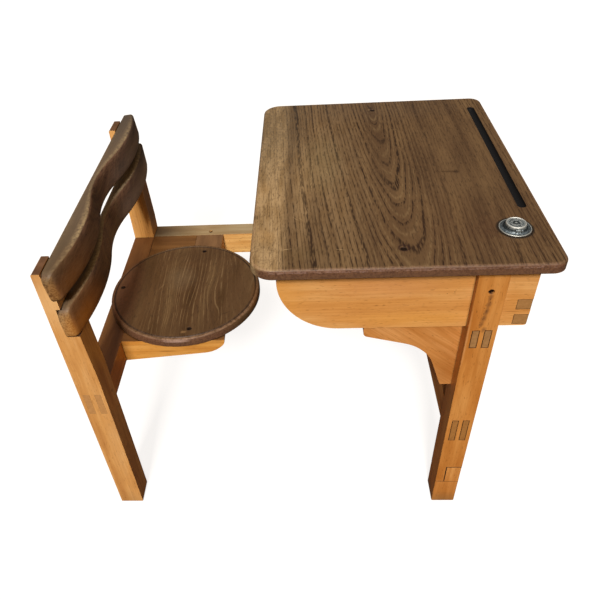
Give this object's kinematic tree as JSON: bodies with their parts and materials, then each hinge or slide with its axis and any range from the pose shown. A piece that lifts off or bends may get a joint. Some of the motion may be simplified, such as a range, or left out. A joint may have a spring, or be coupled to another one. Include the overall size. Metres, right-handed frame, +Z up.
{
  "type": "school desk",
  "caption": "Wooden school desk tied to its chair by a long side rail, with a round seat, sculpted back slats, an open book box, a pen groove and a lidded drop-in inkwell.",
  "frame": {"origin": "on the floor, under the middle of the whole piece's length and width", "axes": "+X from the chair to the desk, +Y to the side with the long rail, +Z up"},
  "size_m": [0.813, 0.628, 0.6809],
  "materials": {
    "dark_oak": "waxed dark oak, worn",
    "honey_beech": "old varnish, honey coloured",
    "worn_beech": "varnish worn off, pale grain",
    "screw_steel": "dull, aged",
    "inkwell_metal": "plated, worn bright on the edges",
    "pot_glass": "clear"
  },
  "bodies": {
    "desk": {"desk_top": "dark_oak", "side_panel_near": "honey_beech", "side_panel_far": "honey_beech", "back_rail": "honey_beech", "shelf_board": "honey_beech", "desk_leg_near": "honey_beech", "desk_leg_far": "honey_beech", "leg_foot_near": "honey_beech", "upper_cross_rail": "honey_beech", "lower_stretcher": "honey_beech", "bracket_near": "honey_beech", "bracket_far": "honey_beech", "chair_post_near": "honey_beech", "chair_post_far": "honey_beech", "back_slat_upper": "dark_oak", "back_slat_lower": "dark_oak", "seat_rail": "honey_beech", "side_rail": "worn_beech", "seat_front_rail": "honey_beech", "seat_arm_near": "honey_beech", "seat_side_board": "honey_beech", "seat_disc": "dark_oak", "top_screws": "screw_steel", "leg_screws": "screw_steel", "seat_screws": "screw_steel", "slat_screws": "screw_steel", "frame_screw": "screw_steel", "rail_pegs": "honey_beech"},
    "inkwell": {"inkwell_flange": "inkwell_metal", "inkwell_pot": "pot_glass", "inkwell_hinge_pin": "screw_steel"},
    "inkwell_lid": {"inkwell_lid": "inkwell_metal"}
  },
  "joints": [
    {"name": "inkwell_lift", "type": "slide", "parent": "desk", "child": "inkwell", "axis": [0, 0, 1], "range_m": [0, 0.06]},
    {"name": "inkwell_lid_hinge", "type": "hinge", "parent": "inkwell", "child": "inkwell_lid", "pos_m": [0.3495, -0.23835, 0.6773], "axis": [1, 0, 0], "range_deg": [0, 105]}
  ]
}
